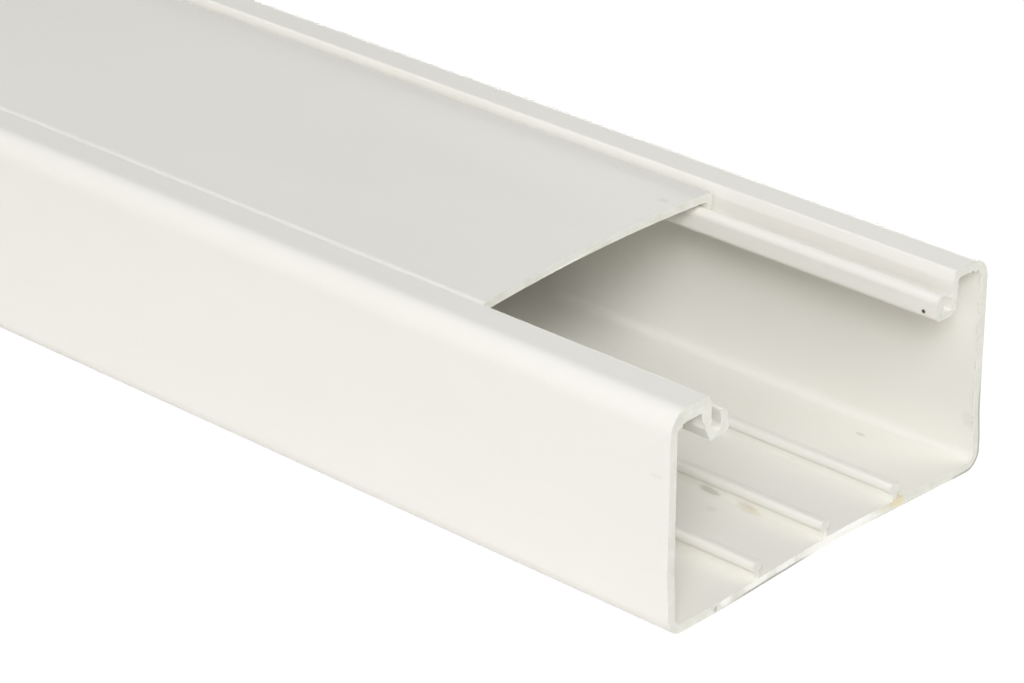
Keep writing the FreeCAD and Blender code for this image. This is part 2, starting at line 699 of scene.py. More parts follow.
@dataclass(frozen=True)
class StockTree:
    """The tree that sweeps a section along the stock and roughens its sawn ends."""

    name: str
    with_ribs: bool

    NUMBERS = ("Start", "Length", "Saw Depth", "Saw Pitch", "Seed", "Rib Pitch")
    OTHERS = {
        "Stations": "NodeSocketInt",
        "Skin": "NodeSocketMaterial",
        "Sawn Face": "NodeSocketMaterial",
        "Rib Outline": "NodeSocketObject",
        "Rib Count": "NodeSocketInt",
    }
    FACES_END = 0.8

    def build(self) -> bpy.types.NodeTree:
        """Builds the tree: sweep, ribs joined on, saw cut, materials.

        Returns:
            The finished tree.
        """
        tree = GeometryTree(self.name, self.NUMBERS + NearCut.INPUTS, self.OTHERS)
        body = self.sweep(tree, tree.given("Geometry"))
        if self.with_ribs:
            body = self.join_ribs(tree, body)
        return tree.close(self.finish_ends(tree, body))

    def sweep(self, tree: GeometryTree, outline: Wire) -> Wire:
        """Sweeps an outline along the stock, with its ends closed.

        Args:
            tree: the tree that is built.
            outline: the section's loop of edges.

        Returns:
            The closed body.
        """
        start = tree.given("Start")
        ends = {"Start": tree.vector(y=start), "End": tree.vector(y=start + tree.given("Length"))}
        line = tree.node("GeometryNodeCurvePrimitiveLine", {}, ends)
        stations = {"Curve": line, "Count": tree.given("Stations")}
        path = tree.node("GeometryNodeResampleCurve", {}, stations)
        profile = tree.node("GeometryNodeMeshToCurve", {}, {"Mesh": outline})
        return tree.node("GeometryNodeCurveToMesh", {}, {0: path, 1: profile, "Fill Caps": True})

    def join_ribs(self, tree: GeometryTree, body: Wire) -> Wire:
        """Repeats the rib across the floor and unites the ribs with the channel.

        Args:
            tree: the tree that is built.
            body: the channel without its ribs.

        Returns:
            The ribbed channel.
        """
        source = tree.node("GeometryNodeObjectInfo", {}, {"Object": tree.given("Rib Outline")}, "Geometry")
        rib = self.sweep(tree, source)
        count, pitch = tree.given("Rib Count"), tree.given("Rib Pitch")
        start = tree.vector(x=(count - 1.0) * pitch * -0.5)
        spacing = {"Count": count, "Start Location": start, "Offset": tree.vector(x=pitch)}
        row = tree.node("GeometryNodeMeshLine", {"mode": "OFFSET"}, spacing)
        ribs = tree.node("GeometryNodeInstanceOnPoints", {}, {"Points": row, "Instance": rib})
        real = tree.node("GeometryNodeRealizeInstances", {}, {"Geometry": ribs})
        union = tree.made("GeometryNodeMeshBoolean", {"operation": "UNION", "solver": "EXACT"}, {})
        for part in (body, real):
            tree.link(union.inputs["Mesh 2"], part)
        return Wire(tree, union.outputs[0])

    def finish_ends(self, tree: GeometryTree, body: Wire) -> Wire:
        """Cuts both ends a little unevenly and gives the sawn faces their own material.

        Args:
            tree: the tree that is built.
            body: the body with plain ends.

        Returns:
            The body with sawn ends.
        """
        x, y, z = tree.split(tree.place())
        half = tree.given("Length") * 0.5
        middle = tree.given("Start") + half
        is_far = y.over(middle)
        at_end = (y - middle).size().over(half - END_BAND)
        inward = 1.0 - is_far * 2.0
        ripple = tree.noise(tree.given("Saw Pitch"), tree.given("Seed")) * tree.given("Saw Depth") * inward
        near = NearCut.shift(tree, x, z) * (1.0 - is_far)
        facing = tree.split(tree.node("GeometryNodeInputNormal", {}, {}))
        is_end = facing[1].size().over(self.FACES_END)
        ends = {"Mesh": body, "Selection": is_end}
        faceted = tree.node("GeometryNodeTriangulate", {"ngon_method": "BEAUTY"}, ends)
        shift = {"Geometry": faceted, "Selection": at_end, "Offset": tree.vector(y=ripple + near)}
        cut = tree.node("GeometryNodeSetPosition", {}, shift)
        skin = {"Geometry": cut, "Material": tree.given("Skin")}
        skinned = tree.node("GeometryNodeSetMaterial", {}, skin)
        sawn = {"Geometry": skinned, "Selection": is_end, "Material": tree.given("Sawn Face")}
        return tree.node("GeometryNodeSetMaterial", {}, sawn)


@dataclass(frozen=True)
class FlashTree:
    """The tree that leaves thin ragged flash on part of a cut's outline, reaching into the open.

    Fields:
        height_name: the attribute that carries each step's height.
        taper: share of a run over which the flash rises from nothing.
        blade: a blade's corners (outward, across) as shares of its height.
    """

    name: str = "saw_flash"
    height_name: str = "flash_height"
    taper: float = 0.15
    blade: tuple[Point, ...] = ((-0.30, -0.14), (1.0, -0.03), (1.0, 0.03), (-0.30, 0.14))

    NUMBERS = ("Step", "Height", "Least Height", "Gaps", "Raggedness", "Pitch", "Seed", "Station")

    def build(self) -> bpy.types.NodeTree:
        """Builds the tree: even steps, ragged height, gaps, blades, the cut's station, material.

        Returns:
            The finished tree.
        """
        tree = GeometryTree(self.name, self.NUMBERS + NearCut.INPUTS, {"Plastic": "NodeSocketMaterial"})
        placed = self.at_cut(tree, self.blades(tree, self.ragged_chain(tree)))
        plastic = {"Geometry": placed, "Material": tree.given("Plastic")}
        return tree.close(tree.node("GeometryNodeSetMaterial", {}, plastic))

    def ragged_chain(self, tree: GeometryTree) -> Wire:
        """Steps evenly along the outline, gives each step a height and drops the bare steps.

        Args:
            tree: the tree that is built.

        Returns:
            The chain of steps that carry flash, with their heights.
        """
        line = tree.node("GeometryNodeMeshToCurve", {}, {"Mesh": tree.given("Geometry")})
        steps = {"Curve": line, "Length": tree.given("Step")}
        even = tree.node("GeometryNodeResampleCurve", {"mode": "LENGTH"}, steps)
        along = tree.node("GeometryNodeSplineParameter", {}, {}, "Factor")
        ends = along.ramp(0.0, self.taper) * (1.0 - along).ramp(0.0, self.taper)
        gaps = tree.given("Gaps")
        noise = tree.noise(tree.given("Pitch"), tree.given("Seed"))
        ragged = noise.ramp(gaps, gaps + tree.given("Raggedness"))
        height = ragged * ends * tree.given("Height")
        settings = {"data_type": "FLOAT", "domain": "POINT"}
        heights = {"Geometry": even, "Name": self.height_name, "Value": height}
        kept = tree.node("GeometryNodeStoreNamedAttribute", settings, heights)
        chain = tree.node("GeometryNodeCurveToMesh", {}, {0: kept})
        bare = self.height(tree).under(tree.given("Least Height"))
        left = {"Geometry": chain, "Selection": bare}
        return tree.node("GeometryNodeDeleteGeometry", {"domain": "POINT"}, left)

    def height(self, tree: GeometryTree) -> Wire:
        """Reads a step's height."""
        name = {"Name": self.height_name}
        return tree.node("GeometryNodeInputNamedAttribute", {"data_type": "FLOAT"}, name, "Attribute")

    def blades(self, tree: GeometryTree, chain: Wire) -> Wire:
        """Sweeps a thin tapering blade along what is left, as high as each step says.

        Args:
            tree: the tree that is built.
            chain: the chain of steps.

        Returns:
            The blades, still lying level.
        """
        line = tree.node("GeometryNodeMeshToCurve", {}, {"Mesh": chain})
        upright = tree.node("GeometryNodeSetCurveNormal", {"mode": "Z_UP"}, {"Curve": line})
        corners = {f"Point {number}": (*corner, 0.0) for number, corner in enumerate(self.blade, 1)}
        blade = tree.node("GeometryNodeCurvePrimitiveQuadrilateral", {"mode": "POINTS"}, corners)
        swept = {0: upright, 1: blade, "Scale": self.height(tree), "Fill Caps": True}
        return tree.node("GeometryNodeCurveToMesh", {}, swept)

    def at_cut(self, tree: GeometryTree, blades: Wire) -> Wire:
        """Stands the blades up and moves them to the cut.

        Args:
            tree: the tree that is built.
            blades: the blades, lying level.

        Returns:
            The blades at the cut.
        """
        upright = {"Geometry": blades, "Rotation": (math.pi / 2, 0.0, 0.0)}
        stood = tree.node("GeometryNodeTransform", {}, upright)
        x, _, z = tree.split(tree.place())
        along = tree.vector(y=tree.given("Station") + NearCut.shift(tree, x, z))
        return tree.node("GeometryNodeSetPosition", {}, {"Geometry": stood, "Offset": along})


# Shaders

PLASTIC_IOR = 1.5
EVEN: Place = (1.0, 1.0, 1.0)


@dataclass(frozen=True)
class Noise:
    """A noise over a surface, in mm.

    Fields:
        stretch: a factor on each axis; a small one draws the noise out along that axis.
        scale: how fine it is.
        detail, rough: how much finer noise is laid over it.
        seed: where in the endless noise it is taken.
    """

    stretch: Place
    scale: float
    detail: float
    rough: float
    seed: float

    def at(self, shader: "Shader", place: Wire) -> Wire:
        """Gives the noise from 0 to 1 at a place.

        Args:
            shader: the shader that is built.
            place: the place in mm.

        Returns:
            The noise.
        """
        drawn = shader.node("ShaderNodeVectorMath", {"operation": "MULTIPLY"}, {0: place, 1: self.stretch})
        values = {"W": self.seed, "Scale": self.scale, "Detail": self.detail, "Roughness": self.rough}
        return shader.node("ShaderNodeTexNoise", {"noise_dimensions": "4D"}, {"Vector": drawn} | values)


class Shader(Nodes):
    """A material that is built call by call on a Principled shader."""

    COLOUR_INPUTS = (6, 7)
    COLOUR_OUTPUT = 2

    def __init__(self, name: str) -> None:
        """Starts the material with its output, its shader and its place in mm.

        Args:
            name: the material's name.
        """
        self.material = bpy.data.materials.new(name)
        self.material.use_nodes = True
        super().__init__(self.material.node_tree)
        self.surface = self.tree.nodes.new("ShaderNodeBsdfPrincipled")
        self.set("IOR", PLASTIC_IOR)
        self.finish("ShaderNodeOutputMaterial", Wire(self, self.surface.outputs[0]))
        metres = self.node("ShaderNodeTexCoord", {}, {}, "Object")
        self.place = self.node("ShaderNodeVectorMath", {"operation": "SCALE"}, {0: metres, "Scale": 1 / MM})
        self.x, self.y, self.z = self.split(self.place)
        self.grains: dict[float, Wire] = {}

    def noise(self, look: Noise) -> Wire:
        """Gives a noise from 0 to 1."""
        return look.at(self, self.place)

    def grain(self, size: float) -> Wire:
        """Gives the noise of a grain size in mm, one noise for all that ask for that size.

        Args:
            size: the grain size.

        Returns:
            The noise from 0 to 1.
        """
        if size not in self.grains:
            self.grains[size] = self.noise(Noise(EVEN, 1 / size, 3.0, 0.6, size))
        return self.grains[size]

    def blend(self, factor: object, first: object, second: object) -> Wire:
        """Mixes two colours.

        Args:
            factor: share of the second colour.
            first: the first colour.
            second: the second.

        Returns:
            The mixed colour.
        """
        values: dict[object, object] = {0: factor}
        for number, value in zip(self.COLOUR_INPUTS, (first, second)):
            values[number] = value if isinstance(value, Wire) else (*value, 1.0)
        return self.node("ShaderNodeMix", {"data_type": "RGBA"}, values, self.COLOUR_OUTPUT)

    def bump(self, height: Wire) -> None:
        """Gives the surface a relief from a height in mm."""
        values = {"Strength": 1.0, "Distance": 1.0, "Height": height * MM}
        self.set("Normal", self.node("ShaderNodeBump", {}, values))

    def set(self, name: str, value: object) -> None:
        """Sets or links one of the shader's inputs.

        Args:
            name: the input's name.
            value: a wire, a number or a colour.
        """
        socket = self.surface.inputs[name]
        if isinstance(value, tuple) and socket.type == "RGBA":
            value = (*value, 1.0)
        self.link(socket, value)


# Finishes


@dataclass(frozen=True)
class Mark:
    """A stain, speck, smudge or patch of painted shade at a fixed place on the stock, in mm.

    Fields:
        centre: its place.
        reach: how far it spreads along X, Y and Z.
        colour: its colour.
        strength: how much it covers.
        ragged: how uneven its outline is.
        grain: size of that unevenness.
        fade: from where to where it fades in, as shares of its reach.
    """

    centre: Place
    reach: Place
    colour: Colour
    strength: float
    ragged: float = 0.5
    grain: float = 1.5
    fade: Point = (1.15, 0.55)

    def mask(self, shader: Shader) -> Wire:
        """Gives how much the mark covers at each place.

        Args:
            shader: the shader that is built.

        Returns:
            The share from 0 to the mark's strength.
        """
        vector = "ShaderNodeVectorMath"
        away = shader.node(vector, {"operation": "SUBTRACT"}, {0: shader.place, 1: self.centre})
        scaled = shader.node(vector, {"operation": "DIVIDE"}, {0: away, 1: self.reach})
        distance = shader.node(vector, {"operation": "LENGTH"}, {0: scaled}, "Value")
        edge = distance + (shader.grain(self.grain) - 0.5) * (2 * self.ragged)
        return edge.ramp(*self.fade) * self.strength


@dataclass(frozen=True)
class ExtrudedSkin:
    """The as-extruded surface of off-white rigid plastic.

    Fields:
        colour, shade: the plastic and its slightly duller places.
        cloud, cloud_span, mottle: the broad mottle, where it shows and how much.
        streak, streak_tint, streak_base: the extrusion streaks and how much they tint.
        roughness: the plain roughness; cloud_rough, streak_rough, scuff_rough: what each adds.
        streak_relief, fine_relief, peel_relief, scuff_depth: heights of the relief in mm.
        speck_*: the specks' colour, how many there are, how large, how likely and how strong.
        scuff_*: where scuffs lie, how they run, their noise and how thin they are.
    """

    name: str
    colour: Colour
    shade: Colour
    marks: tuple[Mark, ...] = ()
    cloud: Noise = Noise((1.0, 0.35, 1.0), 0.035, 3.0, 0.55, 3.0)
    cloud_span: Point = (0.35, 0.72)
    mottle: float = 0.5
    streak: Noise = Noise((1.0, 0.006, 1.0), 1.1, 3.0, 0.6, 7.0)
    streak_tint: float = 0.25
    streak_base: float = 0.12
    fine: Noise = Noise((1.0, 0.02, 1.0), 4.5, 2.0, 0.5, 11.0)
    peel: Noise = Noise(EVEN, 0.55, 2.0, 0.5, 17.0)
    roughness: float = 0.42
    cloud_rough: float = 0.10
    streak_rough: float = 0.08
    scuff_rough: float = 0.08
    streak_relief: float = 0.0016
    fine_relief: float = 0.00048
    peel_relief: float = 0.0012
    scuff_depth: float = 0.002
    speck_colour: Colour = (0.42, 0.39, 0.33)
    speck_scale: float = 0.055
    speck_span: Point = (0.020, 0.008)
    speck_chance: Point = (0.45, 0.95)
    speck_strength: float = 0.35
    scuff_place: Noise = Noise(EVEN, 0.02, 2.0, 0.5, 23.0)
    scuff_patch: Point = (0.52, 0.62)
    scuff_turn: Place = (0.3, 0.2, 0.5)
    scuff_draw: Place = (0.02, 0.16, 0.11)
    scuff_line: Noise = Noise(EVEN, 1.0, 4.0, 0.7, 29.0)
    scuff_width: float = 0.00006

    def build(self) -> bpy.types.Material:
        """Builds the material.

        Returns:
            The material.
        """
        shader = Shader(self.name)
        cloud, streak = shader.noise(self.cloud), shader.noise(self.streak)
        colour = shader.blend(cloud.ramp(*self.cloud_span) * self.mottle, self.colour, self.shade)
        tint = (streak - 0.5) * self.streak_tint + self.streak_base
        colour = shader.blend(tint, colour, self.shade)
        colour = shader.blend(self.specks(shader), colour, self.speck_colour)
        for mark in self.marks:
            colour = shader.blend(mark.mask(shader), colour, mark.colour)
        shader.set("Base Color", colour)
        scuff = self.scuffs(shader)
        uneven = (cloud - 0.5) * self.cloud_rough + (streak - 0.5) * self.streak_rough
        shader.set("Roughness", uneven + scuff * self.scuff_rough + self.roughness)
        relief = streak * self.streak_relief + shader.noise(self.fine) * self.fine_relief
        relief = relief + shader.noise(self.peel) * self.peel_relief
        shader.bump(relief - scuff * self.scuff_depth)
        return shader.material

    def specks(self, shader: Shader) -> Wire:
        """Gives the small faint specks in the plastic, a few in a hand's width.

        Args:
            shader: the shader that is built.

        Returns:
            How much the specks cover at each place.
        """
        where = {"Vector": shader.place, "Scale": self.speck_scale}
        cells = shader.made("ShaderNodeTexVoronoi", {}, where)
        near = Wire(shader, cells.outputs["Distance"])
        chance = shader.node("ShaderNodeSeparateColor", {}, {0: Wire(shader, cells.outputs["Color"])})
        return near.ramp(*self.speck_span) * chance.ramp(*self.speck_chance) * self.speck_strength

    def scuffs(self, shader: Shader) -> Wire:
        """Gives hairline scuffs from handling.

        Args:
            shader: the shader that is built.

        Returns:
            How much the scuffs show at each place.
        """
        values = {"Vector": shader.place, "Rotation": self.scuff_turn, "Scale": self.scuff_draw}
        lines = self.scuff_line.at(shader, shader.node("ShaderNodeMapping", {}, values))
        hair = ((lines - 0.5) * (lines - 0.5)).ramp(self.scuff_width, 0.0)
        return hair * shader.noise(self.scuff_place).ramp(*self.scuff_patch)


@dataclass(frozen=True)
class SawnFace:
    """A sawn end face: dull, pale, with faint saw lines, uneven dust and painted shade along its outer edge
    in places.

    Fields:
        colour, dusty, shade: the bare plastic, where dust is rubbed in, and where it is dull.
        arris: where painted shade darkens the outer edge to a dark line.
        arris_width: how wide that line is, in mm.
        patch, dusty_span, dull_span, dull: the patches of dust and of dull plastic.
        saw_line, saw_span, saw_tint: the faint lines that the saw left.
        roughness, patch_rough: the plain roughness and what the patches add.
        line_relief, patch_relief: heights of the relief in mm.
        half_width, height, corner: the outer shape the edge follows, in mm.
    """

    name: str
    colour: Colour
    dusty: Colour
    shade: Colour
    marks: tuple[Mark, ...] = ()
    arris: tuple[Mark, ...] = ()
    arris_width: float = 0.75
    patch: Noise = Noise(EVEN, 0.22, 3.0, 0.6, 5.0)
    dusty_span: Point = (0.42, 0.62)
    dull_span: Point = (0.44, 0.30)
    dull: float = 0.6
    saw_line: Noise = Noise((0.25, 1.0, 1.0), 3.0, 3.0, 0.65, 13.0)
    saw_span: Point = (0.62, 0.35)
    saw_tint: float = 0.25
    roughness: float = 0.7
    patch_rough: float = 0.15
    line_relief: float = 0.03
    patch_relief: float = 0.05
    half_width: float = 50.0
    height: float = 49.0
    corner: float = 4.0

    def build(self) -> bpy.types.Material:
        """Builds the material.

        Returns:
            The material.
        """
        shader = Shader(self.name)
        patch, lines = shader.noise(self.patch), shader.noise(self.saw_line)
        colour = shader.blend(patch.ramp(*self.dusty_span), self.colour, self.dusty)
        colour = shader.blend(patch.ramp(*self.dull_span) * self.dull, colour, self.shade)
        colour = shader.blend(lines.ramp(*self.saw_span) * self.saw_tint, colour, self.shade)
        for mark in self.marks:
            colour = shader.blend(mark.mask(shader), colour, mark.colour)
        rim = self.rim(shader)
        # Painted shade along the outer edge, where the cut's edge rounds away from the light.
        for mark in self.arris:
            colour = shader.blend(mark.mask(shader) * rim, colour, mark.colour)
        shader.set("Base Color", colour)
        shader.set("Roughness", (patch - 0.5) * self.patch_rough + self.roughness)
        shader.bump(lines * self.line_relief + patch * self.patch_relief)
        return shader.material

    def rim(self, shader: Shader) -> Wire:
        """Gives 1 at the section's outer edge, fading to 0 just inside it.

        Args:
            shader: the shader that is built.

        Returns:
            The share from 0 to 1.
        """
        out_x = shader.x.size() - (self.half_width - self.corner)
        out_z = (shader.z - self.height / 2).size() - (self.height / 2 - self.corner)
        away_x, away_z = out_x.largest(0.0), out_z.largest(0.0)
        depth = (away_x * away_x + away_z * away_z) ** 0.5 + out_x.largest(out_z).smallest(0.0) - self.corner
        return depth.ramp(-self.arris_width, -self.arris_width / 3)


# Pieces


@dataclass
class Stock:
    """What the channel and the cover share: sawn ends and the way a section becomes a piece."""

    start: float
    length: float = 2000.0
    stations: int = 41
    saw_allowance: float = 0.5
    saw_depth: float = 0.12
    saw_pitch: float = 0.9
    seed: float = 1.0
    smooth_angle: float = 28.0
    cut: NearCut = field(default_factory=NearCut)

    @property
    def near_station(self) -> float:
        """Gives the station of the near cut."""
        return self.start + self.saw_allowance

    def values(self, skin: bpy.types.Material, sawn: bpy.types.Material) -> dict[str, object]:
        """Gives the tree's inputs in metres.

        Args:
            skin: material of the extruded surface.
            sawn: material of the sawn ends.

        Returns:
            Input name to value.
        """
        return {
            "Start": self.near_station * MM,
            "Length": (self.length - 2 * self.saw_allowance) * MM,
            "Stations": self.stations,
            "Saw Depth": self.saw_depth * MM,
            "Saw Pitch": self.saw_pitch * MM,
            "Seed": self.seed,
            "Skin": skin,
            "Sawn Face": sawn,
        } | self.cut.values()

    def sweep(
        self, name: str, corners: list[Corner], tree: StockTree, values: dict[str, object]
    ) -> bpy.types.Object:
        """Sweeps a section into a piece.

        Args:
            name: the piece's name.
            corners: the section's corners.
            tree: the tree that sweeps it.
            values: the tree's inputs.

        Returns:
            The piece as one mesh.
        """
        outline = outline_object(f"{name}_outline", corners)
        piece = run_tree(outline, tree.build(), values, name)
        self.shade(piece)
        return piece

    def shade(self, piece: bpy.types.Object) -> None:
        """Shades the rounds smooth and keeps the real edges sharp."""
        piece.data.shade_smooth()
        piece.data.set_sharp_from_angle(angle=math.radians(self.smooth_angle))


@dataclass(frozen=True)
class FlashRun:
    """One run of saw flash on the channel's near cut, in mm.

    Fields:
        name: where it is.
        first, last: the section's corners it starts at and stops before.
        height: how far its highest blades reach.
        gaps: share of the noise that leaves no flash.
        raggedness: how much more noise makes full height.
        pitch: how far its blades are apart.
        seed: the seed of its noise.
    """

    name: str
    first: int
    last: int
    height: float
    gaps: float
    raggedness: float = 0.15
    pitch: float = 1.2
    seed: float = 1.0
    step: float = 0.15
    least: float = 0.03
    setback: float = 0.12

    def build(self, outline: Outline, stock: Stock, plastic: bpy.types.Material) -> bpy.types.Object:
        """Builds the run from the channel's outline and stock, and lets it ride with the channel.

        Args:
            outline: the channel's outline.
            stock: the channel's stock, for its cut.
            plastic: material of the thin torn plastic.

        Returns:
            The run as one mesh.
        """
        places = [(x * MM, z * MM, 0.0) for x, z in outline.part(self.first, self.last)]
        chain = edge_object(self.name, places, False)
        values = {
            "Step": self.step * MM,
            "Height": self.height * MM,
            "Least Height": self.least * MM,
            "Gaps": self.gaps,
            "Raggedness": self.raggedness,
            "Pitch": self.pitch * MM,
            "Seed": self.seed,
            "Station": (stock.near_station + self.setback) * MM,
            "Plastic": plastic,
        } | stock.cut.values()
        piece = run_tree(chain, FlashTree().build(), values, self.name)
        stock.shade(piece)
        settle(piece, Body.CHANNEL)
        return piece


@dataclass
class Channel:
    """The ribbed channel with its hooked lips."""

    section: ChannelSection = field(default_factory=ChannelSection)
    rib: RibSection = field(default_factory=RibSection)
    rib_pitch: float = 22.5
    rib_count: int = 3
    cut: NearCut = NearCut(bow_depth=1.4, bow_lead=0.45, bow_middle=5.0, bow_half=38.0)
    flash: tuple[FlashRun, ...] = (
        FlashRun("flash_left_flange", 18, 20, 1.1, 0.20, 0.25, 2.0, 3.0),
        FlashRun("flash_left_toe", 21, 23, 0.4, 0.46, seed=5.0),
        FlashRun("flash_left_gutter", 24, 26, 0.25, 0.47, seed=7.0),
        FlashRun("flash_right_gutter", 6, 10, 0.35, 0.50, seed=11.0),
        FlashRun("flash_right_back", 12, 14, 0.6, 0.45, seed=13.0),
        FlashRun("flash_right_flange", 14, 16, 0.5, 0.44, seed=17.0),
    )

    def __post_init__(self) -> None:
        """Sets the stock up with the channel's cut."""
        self.stock = Stock(start=-1000.0, seed=2.0, cut=self.cut)

    def build(self, skin: bpy.types.Material, sawn: bpy.types.Material) -> bpy.types.Object:
        """Builds the channel in one mesh, riding on its body in place of its solid.

        Args:
            skin: material of the extruded surface.
            sawn: material of the sawn ends.

        Returns:
            The channel.
        """
        rib = outline_object("rib_outline", self.rib.corners())
        values = self.stock.values(skin, sawn)
        values |= {"Rib Outline": rib, "Rib Count": self.rib_count, "Rib Pitch": self.rib_pitch * MM}
        tree = StockTree("ribbed_channel", True)
        piece = self.stock.sweep("trunking_channel", self.section.corners(), tree, values)
        bpy.data.objects.remove(rib)
        settle(piece, Body.CHANNEL, Node.BASE_CHANNEL)
        return piece

    def build_flash(self, plastic: bpy.types.Material) -> list[bpy.types.Object]:
        """Builds the flash that the saw left on the near cut."""
        outline = Outline(self.section.corners())
        return [run.build(outline, self.stock, plastic) for run in self.flash]


@dataclass
class Cover:
    """The domed cover with its barbed legs."""

    section: CoverSection = field(default_factory=CoverSection)
    stock: Stock = field(
        default_factory=lambda: Stock(start=-938.8, seed=9.0, cut=NearCut(skew=0.032, skew_pivot=-37.0))
    )

    def build(self, skin: bpy.types.Material, sawn: bpy.types.Material) -> bpy.types.Object:
        """Builds the cover in one mesh, riding on its body in place of its solid.

        Args:
            skin: material of the extruded surface.
            sawn: material of the sawn ends.

        Returns:
            The cover.
        """
        tree, values = StockTree("domed_cover", False), self.stock.values(skin, sawn)
        piece = self.stock.sweep("trunking_cover", self.section.corners(), tree, values)
        settle(piece, Body.LID, Node.COVER)
        return piece


def settle(piece: bpy.types.Object, body: Body, node: Node | None = None) -> None:
    """Rides a piece on its body and hides the solid it stands for.

    Args:
        piece: the finished piece.
        body: the body it rides on.
        node: the solid it stands for, if it stands for one.
    """
    if node is not None:
        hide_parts(node.value)
    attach(piece, body.value)


# Studio

PLAIN: Colour = (1.0, 1.0, 1.0)
COOL: Colour = (0.960, 0.975, 1.065)
WARM: Colour = (1.036, 1.025, 0.939)
ROSY: Colour = (1.055, 0.975, 0.970)


@dataclass(frozen=True)
class PhotoCamera:
    """The camera at the photograph's viewing angle.

    Fields:
        place: where it stands, in mm.
        azimuth, elevation, roll: how it is turned, in degrees.
        focal_pixels: focal length in picture pixels.
        width_pixels: width of the picture.
        sensor: width of the camera's sensor, in mm.
        clip: nearest and farthest distance it sees, in metres.
    """

    place: Place = (-568.61, -1437.93, 395.31)
    azimuth: float = -47.234
    elevation: float = 26.002
    roll: float = 0.220
    focal_pixels: float = 4020.0
    width_pixels: float = 1024.0
    sensor: float = 36.0
    clip: Point = (0.01, 50.0)

    def build(self) -> bpy.types.Object:
        """Makes the camera and gives it to the scene.

        Returns:
            The camera.
        """
        data = bpy.data.cameras.new("photo_camera")
        data.sensor_width = self.sensor
        data.lens = self.focal_pixels / self.width_pixels * self.sensor
        data.clip_start, data.clip_end = self.clip
        camera = added("photo_camera", data)
        camera.matrix_world = Matrix.Translation(Vector(self.place) * MM) @ self._turn().to_4x4()
        bpy.context.scene.camera = camera
        return camera

    def _turn(self) -> Matrix:
        """Gives the camera's rotation.

        Returns:
            The rotation from the camera's own axes to the world's.
        """
        azimuth, elevation, roll = (math.radians(a) for a in (self.azimuth, self.elevation, self.roll))
        forward = Vector((
            -math.cos(elevation) * math.sin(azimuth),
            math.cos(elevation) * math.cos(azimuth),
            -math.sin(elevation),
        ))
        level = Vector((math.cos(azimuth), math.sin(azimuth), 0.0))
        up = level.cross(forward)
        right = math.cos(roll) * level + math.sin(roll) * up
        above = -math.sin(roll) * level + math.cos(roll) * up
        return Matrix((right, above, -forward)).transposed()


@dataclass(frozen=True)
class SoftLight:
    """A soft box that points at a place on the object, in metres."""

    name: str
    place: Place
    size: Point
    power: float
    colour: Colour
    aim: Place = (0.0, -0.9, 0.03)

    def build(self) -> bpy.types.Object:
        """Makes the light.

        Returns:
            The light.
        """
        data = bpy.data.lights.new(self.name, "AREA")
        data.shape = "RECTANGLE"
        data.size, data.size_y = self.size
        data.energy = self.power
        data.color = self.colour
        light = added(self.name, data)
        towards = Vector(self.aim) - Vector(self.place)
        turn = towards.to_track_quat("-Z", "Y").to_matrix().to_4x4()
        light.matrix_world = Matrix.Translation(self.place) @ turn
        return light


